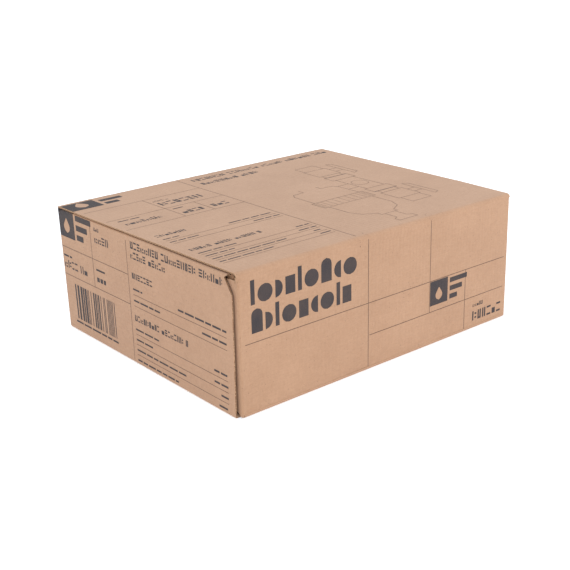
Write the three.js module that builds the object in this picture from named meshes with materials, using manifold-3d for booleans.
// Magnetic system filter in its retail carton.
//
// The carton is a folded corrugated mailer, lying flat: a tray with rolled end walls, and a lid
// that hinges on the back wall and tucks in behind the front wall. Inside, a U-shaped insert
// carries the filter: a polymer vessel with a magnet rod and a mesh cartridge, a swivel tee in
// brass, an isolating ball valve at each end of the tee, an air vent and a drain cock.
//
// Millimetres, +Z up. +X runs along the carton, the lid hinge is on the -Y side, and the origin
// is the middle of the underside.
import * as THREE from "three";
import { mergeVertices } from "three/addons/utils/BufferGeometryUtils.js";
import Module from "manifold-3d";

const wasm = await Module();
wasm.setup();

// ---------------------------------------------------------------- driving dimensions
const GAP = 0.3; // clearance wherever two pieces touch
const RAD = Math.PI / 180;

const CARTON = {
  length: 270,
  width: 221,
  height: 100,
  board: 1.8, // E-flute corrugated
  lidOverhang: 1, // the lid reaches past each end wall by this
  foldGap: 0.4, // room in a crease beyond the board's own thickness
};
const END_WALL = {
  chamferHinge: [7, 12], // top corner by the hinge: along the wall, then down
  chamferFront: [3, 5],
  edgeInset: 0.8, // the wall stops this far short of the long walls' outer faces
  innerInset: 2.5,
  tabWidth: 24,
  tabCentre: 52,
  rolloverInset: 8,
};
const CORNER_FLAP = { length: 82, trim: 1.2, taper: 8 };
const BASE_NOTCH = { x: 6, y: 4.5 };
const TUCK = { depth: 30, lean: 8, clearance: 1, tipRadius: 9 };
const EAR = { length: 45, lean: 6, clearance: 0.8, drop: 3, taper: 8, tail: 22, lift: 2 };

const VESSEL = {
  radius: 38,
  wall: 3.5,
  top: 24,
  shoulder: 9,
  splitY: -33, // where the housing meets the bowl
  flangeReach: 3, // the flanges stand out this far from the housing's side
  flange: 5,
  bowlStep: 1, // the bowl is this much slimmer than the housing
  bowlEnd: -86, // where the bowl starts to close in
  bowlNeckY: -105,
  neckRadius: 14,
};
const RING_NUT = { wall: 3, ribDepth: 1.6, ribs: 22, above: 27, height: 24 };
const O_RING = 1.1; // section radius of the bowl seal
const SLEEVE = { radius: 10.5, wall: 1.2, depth: 104, flangeRadius: 15, flange: 2 };
const MAGNET = { slack: 0.9, count: 3, length: 25, bore: 3.4, rod: 3, capRadius: 14, cap: 11 };
const CAGE = { waterRoom: 7.5, wall: 1.8, top: -36, bottom: -87, bars: 6, barWidth: 4, rim: 4, floor: 2 };
const MESH_WALL = 0.6;
const DIVERTER = { tube: 8, wall: 1.4, top: -27, plate: 2.4 };
const VENT = { offset: 21, radius: 5, stud: 2.8, body: 6.5, knob: 5, knobRadius: 5.6 };
const DRAIN = {
  hole: 8,
  spigot: 7,
  flangeRadius: 13,
  flange: 4,
  barrel: 8,
  barrelLength: 17,
  outlet: 11,
  outletWall: 3.2,
  tailLength: 36,
  tailRadius: 5.2,
  bore: 3.4,
  knobRadius: 12,
  knob: 9,
  seal: 1.5,
};
const BRANCH = { bossRadius: 20, reach: 4.3, bore: 14, seal: 1.4, collar: 2, collarRadius: 17.5 };
const BRANCH_NUT = { wall: 4, length: 11, lip: 3 };
const TEE = { radius: 17, bore: 12.5, thread: 20.3, threadLength: 9, branch: 13.6, branchBore: 11 };
const UNION = { wall: 3.7, length: 16, lip: 3.8, gasket: 1.5, collar: 3, collarRadius: 19.8 };
const VALVE = {
  neck: 16,
  neckLength: 9,
  barrel: 21,
  barrelLength: 28,
  ball: 16.8,
  endRadius: 22,
  endLength: 30,
  socket: 15.1, // the female G1 socket that a pipe screws into
  socketDepth: 14,
  bonnet: 9,
  bonnetTop: 30,
  stem: 4,
};
const HANDLE = {
  span: 50,
  width: 12,
  thickness: 10,
  hub: 8,
  start: 34,
  rib: 1.6, // half the web between the hollows of a wing
  scoop: 4,
  screw: 3.6,
  screwHead: 2,
  margin: 3, // solid material left round the hub and at the tips
};
const KEY = { width: 6.8, thickness: 3.2, slotLength: 12, depth: 2.5, rise: 1.2 }; // tongue under a stem
const INSERT = {
  slack: 0.5, // round a cradled piece
  rise: 5, // above the filter's axis
  bonnetRoom: 2, // each upright stands this far past its valve's bonnet
  sideRoom: 6, // board left outside the bowl
  handleRoom: 4, // between the front edge and the valve handles
};
const FILTER_PLACE = { x: -17, wallRoom: 3.7 }; // branch level, and room by the back wall

// Round pieces: sides of a large turned piece and of a small one.
const SIDES = 32;
const SMALL_SIDES = 20;

// ---------------------------------------------------------------- materials
const MATERIALS = {
  board: new THREE.MeshStandardMaterial({ color: 0xc7a07c, roughness: 0.9, metalness: 0 }),
  polyamide: new THREE.MeshStandardMaterial({ color: 0x2b2d30, roughness: 0.55, metalness: 0 }),
  clearPlastic: new THREE.MeshStandardMaterial({ color: 0xd8d8d2, roughness: 0.5, metalness: 0 }),
  brass: new THREE.MeshStandardMaterial({ color: 0xc9a65a, roughness: 0.3, metalness: 1 }),
  chrome: new THREE.MeshStandardMaterial({ color: 0xd9dadb, roughness: 0.15, metalness: 1 }),
  steel: new THREE.MeshStandardMaterial({ color: 0xb6b8ba, roughness: 0.35, metalness: 1 }),
  rubber: new THREE.MeshStandardMaterial({ color: 0x1c1c1c, roughness: 0.8, metalness: 0 }),
  redPaint: new THREE.MeshStandardMaterial({ color: 0xb3261e, roughness: 0.4, metalness: 0 }),
};

// ---------------------------------------------------------------- shapes and booleans
// A geometry as a manifold-3d solid: vertices merged, triangles of no area dropped.
function solid(geometry) {
  const bare = geometry.clone();
  bare.deleteAttribute("normal");
  bare.deleteAttribute("uv");
  const merged = mergeVertices(bare, 1e-4);
  const index = merged.index.array;
  const kept = [];
  for (let i = 0; i < index.length; i += 3) {
    const [a, b, c] = [index[i], index[i + 1], index[i + 2]];
    if (a !== b && b !== c && c !== a) kept.push(a, b, c);
  }
  return new wasm.Manifold(
    new wasm.Mesh({
      numProp: 3,
      vertProperties: new Float32Array(merged.attributes.position.array),
      triVerts: new Uint32Array(kept),
    }),
  );
}

// A manifold-3d solid back as a three.js geometry.
function geometryOf(made) {
  const mesh = made.getMesh();
  const count = mesh.numProp;
  const points = new Float32Array(mesh.numVert * 3);
  for (let i = 0; i < mesh.numVert; i += 1) {
    points.set(mesh.vertProperties.subarray(i * count, i * count + 3), i * 3);
  }
  const geometry = new THREE.BufferGeometry();
  geometry.setAttribute("position", new THREE.BufferAttribute(points, 3));
  geometry.setIndex(new THREE.BufferAttribute(new Uint32Array(mesh.triVerts), 1));
  geometry.computeVertexNormals();
  return geometry;
}

// A closed profile of [radius, height] points turned about the Y axis, facing out.
function turned(profile, sides = SIDES) {
  const area = profile.reduce((sum, [r, y], i) => {
    const [nextR, nextY] = profile[(i + 1) % profile.length];
    return sum + r * nextY - nextR * y;
  }, 0);
  const points = area > 0 ? profile : [...profile].reverse();
  const outline = [...points, points[0]].map(([r, y]) => new THREE.Vector2(r, y));
  return solid(new THREE.LatheGeometry(outline, sides));
}

// A round tube or bar on the Y axis from y0 to y1.
function tube(outer, inner, y0, y1, sides = SIDES) {
  return turned([[inner, y0], [outer, y0], [outer, y1], [inner, y1]], sides);
}

// A box between any two opposite corners.
function block(corner, opposite) {
  const size = corner.map((value, axis) => Math.abs(opposite[axis] - value));
  const middle = corner.map((value, axis) => (opposite[axis] + value) / 2);
  return solid(new THREE.BoxGeometry(...size).translate(...middle));
}

// An outline of [x, y] points, pushed along Z from z0 to z1.
function slab(outline, z0, z1) {
  const shape = new THREE.Shape(outline.map(([x, y]) => new THREE.Vector2(x, y)));
  const geometry = new THREE.ExtrudeGeometry(shape, { depth: z1 - z0, bevelEnabled: false });
  geometry.translate(0, 0, z0);
  return solid(geometry);
}

// Points of an arc, from one angle to the other, in degrees.
function arc([cx, cy], radius, from, to, steps) {
  return Array.from({ length: steps + 1 }, (_, i) => {
    const angle = (from + ((to - from) * i) / steps) * RAD;
    return [cx + radius * Math.cos(angle), cy + radius * Math.sin(angle)];
  });
}

// A regular polygon prism on the Y axis, given its corner radius.
function prism(radius, corners, y0, y1) {
  return solid(new THREE.CylinderGeometry(radius, radius, y1 - y0, corners).translate(0, (y0 + y1) / 2, 0));
}

const alongX = (made) => made.rotate([0, 0, -90]); // turns the Y axis on to +X
const joined = (...solids) => solids.reduce((all, one) => all.add(one));
const cut = (body, ...tools) => tools.reduce((left, tool) => left.subtract(tool), body);

function piece(name, made, material) {
  const mesh = new THREE.Mesh(geometryOf(made), material);
  mesh.name = name;
  return mesh;
}

// ---------------------------------------------------------------- carton: shared places
const board = CARTON.board;
const halfWidth = CARTON.width / 2;
const bodyHalf = CARTON.length / 2 - CARTON.lidOverhang;
const outerFaceX = bodyHalf - board; // inner face of the outer end wall
const flapX = outerFaceX - GAP - board; // inner face of the corner flaps' layer
const innerWallX = flapX - GAP - board; // inner face of the inner end wall: the room inside
const wallFoot = board + GAP;
const lidUnder = CARTON.height - board;
const rollTop = lidUnder - GAP;
const wallTop = rollTop - board - GAP;
const crease = board / 2 + CARTON.foldGap; // from a fold's axis to the board's edge
const hingeAxis = { y: -halfWidth + board / 2, z: CARTON.height - board / 2 };
const tuckAxis = { y: halfWidth - board - TUCK.clearance - board / 2, z: hingeAxis.z };
const earFoldX = innerWallX - EAR.clearance - board; // inner face of an ear, where its crease folds

function tabSpans(slack) {
  return [-1, 1].map((side) => [
    side * END_WALL.tabCentre - END_WALL.tabWidth / 2 - slack,
    side * END_WALL.tabCentre + END_WALL.tabWidth / 2 + slack,
  ]);
}

// ---------------------------------------------------------------- carton: tray
function basePanel() {
  const panel = block([-bodyHalf, -halfWidth, 0], [bodyHalf, halfWidth, board]);
  const cuts = [];
  for (const side of [-1, 1]) {
    for (const [from, to] of tabSpans(GAP)) {
      const near = side * (innerWallX - GAP);
      const far = side * (innerWallX + board + GAP);
      cuts.push(block([near, from, -1], [far, to, board + 1]));
    }
    for (const end of [-1, 1]) {
      const x = side * bodyHalf;
      const y = end * halfWidth;
      const inner = [x - side * BASE_NOTCH.x, y - end * BASE_NOTCH.y, board + 1];
      cuts.push(block([x + side, y + end, -1], inner));
    }
  }
  return cut(panel, ...cuts);
}

function longWall(y0, top) {
  const half = outerFaceX - GAP;
  return block([-half, y0, wallFoot], [half, y0 + board, top]);
}

// An upright panel in a YZ plane: its outline is [y, z] points, from x0 to x0 + board.
function endPanel(outline, x0) {
  return slab(outline, 0, board).rotate([90, 0, 90]).translate([x0, 0, 0]);
}

function endWalls(side, label) {
  const place = (inner) => (side > 0 ? inner : -inner - board);
  const outerHalf = halfWidth - END_WALL.edgeInset;
  const [hingeAlong, hingeDown] = END_WALL.chamferHinge;
  const [frontAlong, frontDown] = END_WALL.chamferFront;
  const outer = endPanel(
    [
      [-outerHalf, wallFoot],
      [outerHalf, wallFoot],
      [outerHalf, wallTop - frontDown],
      [outerHalf - frontAlong, wallTop],
      [-outerHalf + hingeAlong, wallTop],
      [-outerHalf, wallTop - hingeDown],
    ],
    place(outerFaceX),
  );
  const rollHalf = halfWidth - END_WALL.rolloverInset;
  const rollover = block(
    [side * innerWallX, -rollHalf, rollTop - board],
    [side * bodyHalf, rollHalf, rollTop],
  );
  const innerHalf = halfWidth - board - END_WALL.innerInset;
  const inner = joined(
    endPanel(
      [[-innerHalf, wallFoot], [innerHalf, wallFoot], [innerHalf, wallTop], [-innerHalf, wallTop]],
      place(innerWallX),
    ),
    ...tabSpans(0).map(([from, to]) =>
      block([place(innerWallX), from, GAP], [place(innerWallX) + board, to, wallFoot + 1]),
    ),
  );
  const flaps = [["back", -1], ["front", 1]].map(([end, sign]) => {
    const root = sign * (halfWidth - board - GAP);
    const tip = root - sign * CORNER_FLAP.length;
    const low = wallFoot + CORNER_FLAP.trim;
    const high = wallTop - CORNER_FLAP.trim;
    const outline = [
      [root, low],
      [root, high],
      [tip, high - CORNER_FLAP.taper],
      [tip, low + CORNER_FLAP.taper],
    ];
    return piece(`${label}_${end}_corner_flap`, endPanel(outline, place(flapX)), MATERIALS.board);
  });
  return [
    piece(`${label}_end_wall_outer`, outer, MATERIALS.board),
    piece(`${label}_end_wall_rollover`, rollover, MATERIALS.board),
    piece(`${label}_end_wall_inner`, inner, MATERIALS.board),
    ...flaps,
  ];
}

// ---------------------------------------------------------------- carton: lid, tuck flap and ears
// The rounded outside of a fold: a bead of the board's own thickness along the crease.
function foldBead(half) {
  return alongX(tube(board / 2, 0, -half, half, 12));
}

function lidPanel() {
  const half = CARTON.length / 2;
  return block([-half, hingeAxis.y + crease, lidUnder], [half, tuckAxis.y - crease, CARTON.height]);
}

function tuckGroup() {
  const group = new THREE.Group();
  group.position.set(0, tuckAxis.y, tuckAxis.z);
  group.rotation.x = -TUCK.lean * RAD;
  const half = earFoldX - CARTON.foldGap;
  const r = TUCK.tipRadius;
  const outline = [
    [-half, -crease],
    ...arc([-half + r, -TUCK.depth + r], r, 180, 270, 4),
    ...arc([half - r, -TUCK.depth + r], r, 270, 360, 4),
    [half, -crease],
  ];
  const flap = slab(outline, -board / 2, board / 2).rotate([90, 0, 0]);
  group.add(
    piece("tuck_flap", flap, MATERIALS.board),
    piece("tuck_fold", foldBead(half), MATERIALS.board),
  );
  // An ear folds about the corner where the inner faces of flap and ear meet.
  for (const [side, label] of [[-1, "left"], [1, "right"]]) {
    const ear = new THREE.Group();
    ear.position.set(side * earFoldX, -board / 2, 0);
    ear.rotation.z = -side * EAR.lean * RAD;
    const profile = [
      [-CARTON.foldGap, -EAR.drop],
      [-EAR.length, -EAR.drop - EAR.taper],
      [-EAR.length, -EAR.tail],
      [-EAR.length + EAR.taper, -TUCK.depth + EAR.lift],
      [-CARTON.foldGap, -TUCK.depth + EAR.lift + TUCK.tipRadius],
    ];
    ear.add(piece(`${label}_ear`, endPanel(profile, side > 0 ? 0 : -board), MATERIALS.board));
    group.add(ear);
  }
  return group;
}

function cartonGroup() {
  const group = new THREE.Group();
  group.add(
    piece("base_panel", basePanel(), MATERIALS.board),
    piece("back_wall", longWall(-halfWidth, hingeAxis.z - crease), MATERIALS.board),
    piece("front_wall", longWall(halfWidth - board, CARTON.height), MATERIALS.board),
    ...endWalls(-1, "left"),
    ...endWalls(1, "right"),
    piece("lid_fold", foldBead(outerFaceX).translate([0, hingeAxis.y, hingeAxis.z]), MATERIALS.board),
    piece("lid_panel", lidPanel(), MATERIALS.board),
    tuckGroup(),
  );
  return group;
}

// ---------------------------------------------------------------- insert
const flangeRadius = VESSEL.radius + VESSEL.flangeReach;
const bowlRadius = VESSEL.radius - VESSEL.bowlStep;
const ringRadius = flangeRadius + GAP + RING_NUT.wall;
const bossEnd = VESSEL.radius + BRANCH.reach;
const branchSealStart = bossEnd + GAP;
const collarStart = branchSealStart + BRANCH.seal + GAP;
const branchLip = collarStart + BRANCH.collar + GAP;
const branchNutEnd = branchLip + BRANCH_NUT.lip;
const branchNutRadius = BRANCH.bossRadius + GAP + BRANCH_NUT.wall;
const teeAxis = branchNutEnd + GAP + TEE.radius;
const teeHalf = branchNutRadius + GAP + TEE.threadLength;
const padTop = board + GAP + board;
// Along the tee's run, from its middle: the foot of a valve's collar, its barrel and its ball.
const collarFrom = teeHalf + GAP + UNION.gasket + GAP;
const barrelFrom = collarFrom + UNION.collar + VALVE.neckLength;
const valveCentre = barrelFrom + VALVE.barrelLength / 2;
const filterY = -halfWidth + board + FILTER_PLACE.wallRoom + ringRadius;
const filterZ = padTop + GAP + ringRadius;
const teeY = filterY + teeAxis;
const insertReach = VALVE.bonnet + INSERT.bonnetRoom;
const insertLeft = FILTER_PLACE.x - valveCentre + insertReach + board;
const insertRight = FILTER_PLACE.x + valveCentre + insertReach;
const insertBack = filterY - bowlRadius - INSERT.sideRoom;
const insertLeftBack = teeY - VALVE.barrel - INSERT.sideRoom;
const insertFront = teeY + HANDLE.start - INSERT.handleRoom;

// A U-shaped cradle notch for a round of that radius, as a tool that opens upwards.
function cradleNotch(y, radius) {
  const r = radius + INSERT.slack;
  const outline = [
    ...arc([y, filterZ], r, 180, 360, 12),
    [y + r, filterZ + 2 * r],
    [y - r, filterZ + 2 * r],
  ];
  return slab(outline, -1, board + 1);
}

function insertGroup() {
  const group = new THREE.Group();
  const foot = padTop + GAP;
  const head = filterZ + INSERT.rise;
  const pad = block(
    [insertLeft + GAP, insertBack, board + GAP],
    [insertRight - GAP, insertFront, padTop],
  );
  const upright = (back, x0, notches) => {
    const sheet = slab([[back, foot], [insertFront, foot], [insertFront, head], [back, head]], 0, board);
    return cut(sheet, ...notches).rotate([90, 0, 90]).translate([x0, 0, 0]);
  };
  const valveNotch = cradleNotch(teeY, VALVE.barrel);
  const bowlNotch = cradleNotch(filterY, bowlRadius);
  const leftUpright = upright(insertLeftBack, insertLeft - board, [valveNotch]);
  const rightUpright = upright(insertBack, insertRight, [valveNotch, bowlNotch]);
  group.add(
    piece("insert_pad", pad, MATERIALS.board),
    piece("insert_left_upright", leftUpright, MATERIALS.board),
    piece("insert_right_upright", rightUpright, MATERIALS.board),
  );
  return group;
}

// ---------------------------------------------------------------- filter vessel
// The filter is drawn upright: X towards the tee, Y up, Z towards the viewer.
const flangeFoot = VESSEL.splitY;
const sleeveHole = SLEEVE.radius + GAP;
const sealRadius = (flangeRadius + bowlRadius - VESSEL.wall) / 2;

function upperHousing() {
  const { radius, wall, top, shoulder, flange } = VESSEL;
  const shell = turned([
    [0, flangeFoot],
    [flangeRadius, flangeFoot],
    [flangeRadius, flangeFoot + flange],
    [radius, flangeFoot + flange + 2],
    ...arc([radius - shoulder, top - shoulder], shoulder, 0, 90, 4),
    [0, top],
  ]);
  const boss = alongX(tube(BRANCH.bossRadius, 0, 0, bossEnd));
  const inside = shoulder - wall;
  const hollow = turned([
    [0, flangeFoot - 1],
    [radius - wall, flangeFoot - 1],
    ...arc([radius - shoulder, top - shoulder], inside, 0, 90, 4),
    [0, top - wall],
  ]);
  const bore = alongX(tube(BRANCH.bore, 0, 0, bossEnd + 1));
  const sleeveBore = tube(sleeveHole, 0, 0, top + 1, SMALL_SIDES);
  const ventBore = tube(VENT.stud + GAP, 0, 0, top + 1, SMALL_SIDES).translate([VENT.offset, 0, 0]);
  return cut(joined(shell, boss), hollow, bore, sleeveBore, ventBore);
}

function lowerBowl() {
  const { wall, bowlEnd, bowlNeckY, neckRadius, flange } = VESSEL;
  const top = flangeFoot - GAP;
  const shell = turned([
    [0, bowlNeckY],
    [neckRadius, bowlNeckY],
    [neckRadius, bowlNeckY + wall],
    [bowlRadius - 8, bowlEnd - 8],
    [bowlRadius - 2.4, bowlEnd - 3.4],
    [bowlRadius, bowlEnd],
    [bowlRadius, top - flange],
    [flangeRadius, top - flange],
    [flangeRadius, top],
    [0, top],
  ]);
  const hollow = turned([
    [0, bowlNeckY + 2 * wall],
    [neckRadius - 2, bowlNeckY + 2 * wall],
    [bowlRadius - wall - 2, bowlEnd - 2],
    [bowlRadius - wall, bowlEnd + 2],
    [bowlRadius - wall, top + 1],
    [0, top + 1],
  ]);
  const drainHole = tube(DRAIN.hole, 0, bowlNeckY - 1, bowlNeckY + 3 * wall, SMALL_SIDES);
  const groove = tube(
    sealRadius + O_RING + GAP,
    sealRadius - O_RING - GAP,
    top - 2 * O_RING - GAP,
    top + 1,
  );
  return cut(shell, hollow, drainHole, groove);
}

function bowlSeal() {
  const ring = new THREE.TorusGeometry(sealRadius, O_RING, 6, SIDES).rotateX(Math.PI / 2);
  return solid(ring).translate([0, flangeFoot - GAP - O_RING, 0]);
}

// The ring nut: ribs outside, a plain bore over both flanges and a lip under the bowl's flange.
function ringNut() {
  const { ribDepth, ribs, above, height } = RING_NUT;
  const outline = [];
  for (let i = 0; i < ribs; i += 1) {
    const step = 360 / ribs;
    outline.push(...arc([0, 0], ringRadius, i * step, (i + 0.45) * step, 1));
    outline.push(...arc([0, 0], ringRadius - ribDepth, (i + 0.55) * step, (i + 0.9) * step, 1));
  }
  const ring = slab(outline, -height, 0).rotate([-90, 0, 0]).translate([0, -above, 0]);
  const thread = tube(flangeRadius + GAP, 0, flangeFoot - GAP - VESSEL.flange - GAP, 0);
  const through = tube(bowlRadius + GAP, 0, -above - height - 1, 0);
  return cut(ring, thread, through);
}

function magnetSleeve() {
  const { radius, wall, depth, flangeRadius, flange } = SLEEVE;
  const seat = VESSEL.top + GAP;
  return turned(
    [
      [0, seat - depth],
      [radius, seat - depth],
      [radius, seat],
      [flangeRadius, seat],
      [flangeRadius, seat + flange],
      [radius - wall, seat + flange],
      [radius - wall, seat - depth + wall],
      [0, seat - depth + wall],
    ],
    SMALL_SIDES,
  );
}

// The knob and the rod that carries the magnets. It pulls straight out of the sleeve.
const magnetRadius = SLEEVE.radius - SLEEVE.wall - MAGNET.slack;
const capSeat = VESSEL.top + GAP + SLEEVE.flange + GAP;
const magnetPitch = MAGNET.length + GAP;

function magnetCap() {
  const rodEnd = capSeat - GAP - MAGNET.count * magnetPitch;
  const cap = turned(
    [
      [0, rodEnd],
      [MAGNET.rod, rodEnd],
      [MAGNET.rod, capSeat],
      [MAGNET.capRadius, capSeat],
      [MAGNET.capRadius, capSeat + MAGNET.cap - 2],
      [MAGNET.capRadius - 2, capSeat + MAGNET.cap],
      [0, capSeat + MAGNET.cap],
    ],
    SMALL_SIDES,
  );
  const flutes = Array.from({ length: 5 }, (_, i) => {
    const angle = (i + 0.5) * 72 * RAD;
    const flute = tube(4, 0, capSeat + 2, capSeat + MAGNET.cap + 1, 10);
    const reach = MAGNET.capRadius + 2;
    return flute.translate([reach * Math.cos(angle), 0, reach * Math.sin(angle)]);
  });
  return cut(cap, ...flutes);
}

function magnets() {
  return Array.from({ length: MAGNET.count }, (_, i) => {
    const top = capSeat - GAP - i * magnetPitch;
    const ring = tube(magnetRadius, MAGNET.bore, top - MAGNET.length, top, SMALL_SIDES);
    return piece(`magnet_${i + 1}`, ring, MATERIALS.chrome);
  });
}

const cageRadius = bowlRadius - VESSEL.wall - CAGE.waterRoom;

function filterCage() {
  const { wall, top, bottom, bars, barWidth, rim } = CAGE;
  const radius = cageRadius;
  const shell = tube(radius, radius - wall, bottom, top);
  const windows = [];
  const halfWindow = ((2 * Math.PI * radius) / bars - barWidth) / 2;
  for (let i = 0; i < bars; i += 1) {
    const window = block([0, bottom + rim, -halfWindow], [radius + 2, top - rim, halfWindow]);
    windows.push(window.rotate([0, (i * 360) / bars, 0]));
  }
  const floor = tube(radius - wall / 2, SLEEVE.radius - 4, bottom, bottom + CAGE.floor);
  return joined(cut(shell, ...windows), floor);
}

function flowDiverter() {
  const { tube: bore, wall, top, plate } = DIVERTER;
  const inner = VESSEL.radius - VESSEL.wall - 1;
  const disc = tube(inner, sleeveHole + 1, top - plate, top);
  const hub = tube(bore + sleeveHole, sleeveHole + 1, top - 1, bore + wall - 1, SMALL_SIDES);
  const pipe = alongX(tube(bore + wall, 0, sleeveHole + 3, bossEnd - 2, SMALL_SIDES));
  const way = alongX(tube(bore, 0, 0, bossEnd, SMALL_SIDES));
  return cut(joined(disc, hub, pipe), way, tube(sleeveHole + 1, 0, top - plate - 1, 40, SMALL_SIDES));
}

function vent() {
  const seat = VESSEL.top + GAP;
  const body = joined(
    tube(VENT.stud, 0, VESSEL.top - VESSEL.wall, seat + 1, 12),
    prism(VENT.radius, 6, seat, seat + VENT.body),
  );
  const knobFoot = seat + VENT.body + GAP;
  const knob = prism(VENT.knobRadius, 10, knobFoot, knobFoot + VENT.knob);
  return [
    piece("vent_body", body.translate([VENT.offset, 0, 0]), MATERIALS.brass),
    piece("vent_knob", knob.translate([VENT.offset, 0, 0]), MATERIALS.polyamide),
  ];
}

// ---------------------------------------------------------------- drain cock
function drain() {
  const sealTop = VESSEL.bowlNeckY - GAP;
  const flangeTop = sealTop - DRAIN.seal - GAP;
  const barrelTop = flangeTop - DRAIN.flange;
  const barrelEnd = barrelTop - DRAIN.barrelLength;
  const bodyOuter = joined(
    tube(DRAIN.hole - GAP, 0, flangeTop - 1, sealTop + DRAIN.spigot, SMALL_SIDES),
    prism(DRAIN.flangeRadius, 6, barrelTop, flangeTop),
    tube(DRAIN.barrel, 0, barrelEnd, barrelTop + 1, SMALL_SIDES),
  );
  const body = cut(bodyOuter, tube(DRAIN.bore, 0, barrelEnd - 1, sealTop + DRAIN.spigot + 1, 12));
  const seal = tube(DRAIN.flangeRadius - 1.5, DRAIN.hole + GAP, sealTop - DRAIN.seal, sealTop, SMALL_SIDES);

  const ringInner = DRAIN.barrel + GAP;
  const ringOuter = ringInner + DRAIN.outletWall;
  const ringTop = barrelTop - 2;
  const ringEnd = ringTop - DRAIN.outlet;
  const level = (ringTop + ringEnd) / 2;
  const barbs = turned(
    [
      [0, ringInner + 1],
      [DRAIN.tailRadius, ringInner + 1],
      [DRAIN.tailRadius, DRAIN.tailLength - 16],
      [DRAIN.tailRadius + 1.2, DRAIN.tailLength - 16],
      [DRAIN.tailRadius, DRAIN.tailLength - 11],
      [DRAIN.tailRadius + 1.2, DRAIN.tailLength - 11],
      [DRAIN.tailRadius, DRAIN.tailLength - 6],
      [DRAIN.tailRadius + 1.2, DRAIN.tailLength - 6],
      [DRAIN.tailRadius - 0.4, DRAIN.tailLength],
      [0, DRAIN.tailLength],
    ],
    SMALL_SIDES,
  );
  const tail = barbs.rotate([0, 0, 90]).translate([0, level, 0]);
  const tailBore = tube(DRAIN.bore, 0, ringInner - 2, DRAIN.tailLength + 1, 12);
  const outlet = cut(
    joined(tube(ringOuter, 0, ringEnd, ringTop, SMALL_SIDES), tail),
    tube(ringInner, 0, ringEnd - 1, ringTop + 1, SMALL_SIDES),
    tailBore.rotate([0, 0, 90]).translate([0, level, 0]),
  );

  const knobTop = barrelEnd - GAP;
  const grip = [];
  for (let i = 0; i < 6; i += 1) {
    grip.push(...arc([0, 0], DRAIN.knobRadius, i * 60, i * 60 + 34, 3));
    grip.push(...arc([0, 0], DRAIN.knobRadius - 1.8, i * 60 + 42, i * 60 + 52, 1));
  }
  const knob = joined(
    slab(grip, -DRAIN.knob, 0).rotate([-90, 0, 0]).translate([0, knobTop, 0]),
    tube(DRAIN.bore - GAP, 0, knobTop - 1, barrelTop, 12),
  );
  return [
    piece("drain_body", body, MATERIALS.brass),
    piece("drain_seal", seal, MATERIALS.rubber),
    piece("drain_hose_tail", outlet, MATERIALS.polyamide),
    piece("drain_knob", knob, MATERIALS.polyamide),
  ];
}

// ---------------------------------------------------------------- swivel tee
function swivelTee() {
  const run = turned([
    [0, -teeHalf],
    [TEE.thread, -teeHalf],
    [TEE.thread, -teeHalf + TEE.threadLength],
    [TEE.radius, -teeHalf + TEE.threadLength],
    [TEE.radius, teeHalf - TEE.threadLength],
    [TEE.thread, teeHalf - TEE.threadLength],
    [TEE.thread, teeHalf],
    [0, teeHalf],
  ]);
  const branch = joined(
    tube(BRANCH.collarRadius, 0, collarStart, collarStart + BRANCH.collar),
    tube(TEE.branch, 0, collarStart, teeAxis),
  );
  const bores = [
    tube(TEE.bore, 0, -teeHalf - 1, teeHalf + 1).translate([teeAxis, 0, 0]),
    alongX(tube(TEE.branchBore, 0, collarStart - 1, teeAxis)),
  ];
  return cut(joined(run.translate([teeAxis, 0, 0]), alongX(branch)), ...bores);
}

function branchNut() {
  const from = branchNutEnd - BRANCH_NUT.length;
  const nut = cut(
    prism(branchNutRadius, 8, from, branchNutEnd),
    tube(BRANCH.bossRadius + GAP, 0, from - 1, branchLip),
    tube(TEE.branch + GAP, 0, branchLip - 1, branchNutEnd + 1),
  );
  return alongX(nut);
}

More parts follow.
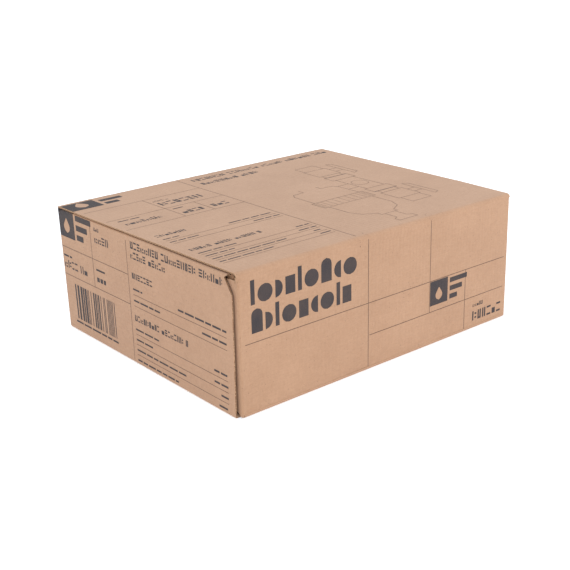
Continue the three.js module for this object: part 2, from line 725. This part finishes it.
// ---------------------------------------------------------------- isolating valves
// One valve, standing on the end of the tee's run: Y up along the pipe, X out to the handle.
function valveGroup(label) {
  const group = new THREE.Group();
  const gasketFrom = teeHalf + GAP;
  const neckFrom = collarFrom + UNION.collar;
  const barrelTo = barrelFrom + VALVE.barrelLength;
  const endFrom = barrelTo + GAP;
  const endTo = endFrom + VALVE.endLength;

  const lipFrom = neckFrom + GAP;
  const nutFrom = lipFrom + UNION.lip - UNION.length;
  const nut = cut(
    prism(TEE.thread + UNION.wall, 6, nutFrom, lipFrom + UNION.lip),
    tube(TEE.thread + GAP, 0, nutFrom - 1, lipFrom),
    tube(VALVE.neck + GAP, 0, lipFrom - 1, lipFrom + UNION.lip + 1),
  );

  const barrel = turned([
    [0, collarFrom],
    [UNION.collarRadius, collarFrom],
    [UNION.collarRadius, neckFrom],
    [VALVE.neck, neckFrom],
    [VALVE.neck, barrelFrom],
    [VALVE.barrel, barrelFrom + 2],
    [VALVE.barrel, barrelTo],
    [0, barrelTo],
  ]);
  const cavity = VALVE.ball + 2 * GAP;
  const cavityFoot = valveCentre - Math.sqrt(VALVE.ball ** 2 - TEE.bore ** 2) - GAP;
  const bonnet = alongX(tube(VALVE.bonnet, 0, cavity, VALVE.bonnetTop, SMALL_SIDES));
  const body = cut(
    joined(barrel, bonnet.translate([0, valveCentre, 0])),
    tube(TEE.bore, 0, collarFrom - 1, barrelTo),
    tube(cavity, 0, cavityFoot, barrelTo + 1),
    alongX(tube(VALVE.stem + GAP, 0, 0, VALVE.bonnetTop + 1, 16)).translate([0, valveCentre, 0]),
  );

  const hexFrom = endTo - VALVE.socketDepth - 4;
  const endPiece = cut(
    joined(
      tube(VALVE.barrel - 1, 0, endFrom, hexFrom + 1),
      prism(VALVE.endRadius, 6, hexFrom, endTo - 2),
      tube(VALVE.barrel - 1, 0, endTo - 3, endTo),
    ),
    tube(TEE.bore, 0, endFrom - 1, endTo),
    tube(VALVE.socket, 0, endTo - VALVE.socketDepth, endTo + 1),
  );

  const ball = cut(
    solid(new THREE.SphereGeometry(VALVE.ball, SMALL_SIDES, 12)),
    tube(TEE.bore, 0, -VALVE.ball - 1, VALVE.ball + 1, SMALL_SIDES),
    block(
      [VALVE.ball - KEY.depth, -KEY.slotLength / 2, -KEY.thickness / 2 - GAP],
      [VALVE.ball + 1, KEY.slotLength / 2, KEY.thickness / 2 + GAP],
    ),
  );
  const handleTop = HANDLE.start + HANDLE.thickness;
  const stemTop = handleTop - HANDLE.screwHead;
  const stem = joined(
    block(
      [VALVE.ball - KEY.depth + GAP, -KEY.width / 2, -KEY.thickness / 2],
      [VALVE.ball + KEY.rise, KEY.width / 2, KEY.thickness / 2],
    ),
    alongX(tube(VALVE.stem, 0, VALVE.ball + KEY.rise / 2, stemTop, 16)),
  );
  const half = HANDLE.span / 2;
  const tip = HANDLE.width / 2;
  const wing = [
    ...arc([0, 0], HANDLE.hub, -50, 50, 4),
    ...arc([0, half - tip], tip, 0, 180, 4),
    ...arc([0, 0], HANDLE.hub, 130, 230, 4),
    ...arc([0, tip - half], tip, 180, 360, 4),
  ];
  const scoops = [];
  for (const end of [-1, 1]) {
    const near = end * (HANDLE.hub + HANDLE.margin);
    const far = end * (half - HANDLE.margin);
    for (const side of [-1, 1]) {
      scoops.push(
        block(
          [HANDLE.start - 1, near, side * HANDLE.rib],
          [HANDLE.start + HANDLE.scoop, far, side * HANDLE.width],
        ),
      );
    }
  }
  const stemHole = alongX(tube(VALVE.stem + GAP, 0, HANDLE.start - 1, handleTop + 1, 16));
  const handle = cut(slab(wing, HANDLE.start, handleTop).rotate([0, 90, 0]), ...scoops, stemHole);
  const screwFoot = handleTop + GAP;
  const screw = joined(
    alongX(prism(HANDLE.screw + 2, 6, screwFoot, screwFoot + HANDLE.screwHead)),
    alongX(tube(HANDLE.screw, 0, stemTop + GAP, screwFoot + 1, 12)),
  );
  const gasket = tube(UNION.collarRadius - 0.6, TEE.bore + 1, gasketFrom, gasketFrom + UNION.gasket);
  const atCentre = (made) => made.translate([0, valveCentre, 0]);
  group.add(
    piece(`${label}_union_nut`, nut, MATERIALS.brass),
    piece(`${label}_gasket`, gasket, MATERIALS.rubber),
    piece(`${label}_body`, body, MATERIALS.brass),
    piece(`${label}_end_piece`, endPiece, MATERIALS.brass),
    piece(`${label}_ball`, atCentre(ball), MATERIALS.chrome),
    piece(`${label}_stem`, atCentre(stem), MATERIALS.brass),
    piece(`${label}_handle`, atCentre(handle), MATERIALS.redPaint),
    piece(`${label}_handle_screw`, atCentre(screw), MATERIALS.steel),
  );
  return group;
}

// ---------------------------------------------------------------- the filter as one group
function filterGroup() {
  const group = new THREE.Group();
  group.position.set(FILTER_PLACE.x, filterY, filterZ);
  group.rotation.z = Math.PI / 2; // lies on its side: its top points along -X
  const meshCylinder = tube(
    cageRadius - CAGE.wall - GAP,
    cageRadius - CAGE.wall - GAP - MESH_WALL,
    CAGE.bottom + CAGE.floor + GAP,
    CAGE.top,
  );
  const branchSeal = alongX(
    tube(BRANCH.bossRadius - 1, BRANCH.bore + 1, branchSealStart, branchSealStart + BRANCH.seal),
  );
  const upperValve = valveGroup("supply_valve");
  upperValve.position.x = teeAxis;
  const lowerValve = valveGroup("return_valve");
  lowerValve.position.x = teeAxis;
  lowerValve.rotation.x = Math.PI;
  group.add(
    piece("upper_housing", upperHousing(), MATERIALS.polyamide),
    piece("lower_bowl", lowerBowl(), MATERIALS.polyamide),
    piece("ring_nut", ringNut(), MATERIALS.polyamide),
    piece("bowl_seal", bowlSeal(), MATERIALS.rubber),
    piece("magnet_sleeve", magnetSleeve(), MATERIALS.brass),
    piece("magnet_cap_and_rod", magnetCap(), MATERIALS.polyamide),
    ...magnets(),
    piece("cartridge_cage", filterCage(), MATERIALS.clearPlastic),
    piece("cartridge_mesh", meshCylinder, MATERIALS.steel),
    piece("flow_diverter", flowDiverter(), MATERIALS.clearPlastic),
    ...vent(),
    ...drain(),
    piece("swivel_tee", swivelTee(), MATERIALS.brass),
    piece("branch_nut", branchNut(), MATERIALS.brass),
    piece("branch_seal", branchSeal, MATERIALS.rubber),
    upperValve,
    lowerValve,
  );
  return group;
}

const part = new THREE.Group();
part.add(cartonGroup(), insertGroup(), filterGroup());
export default part;
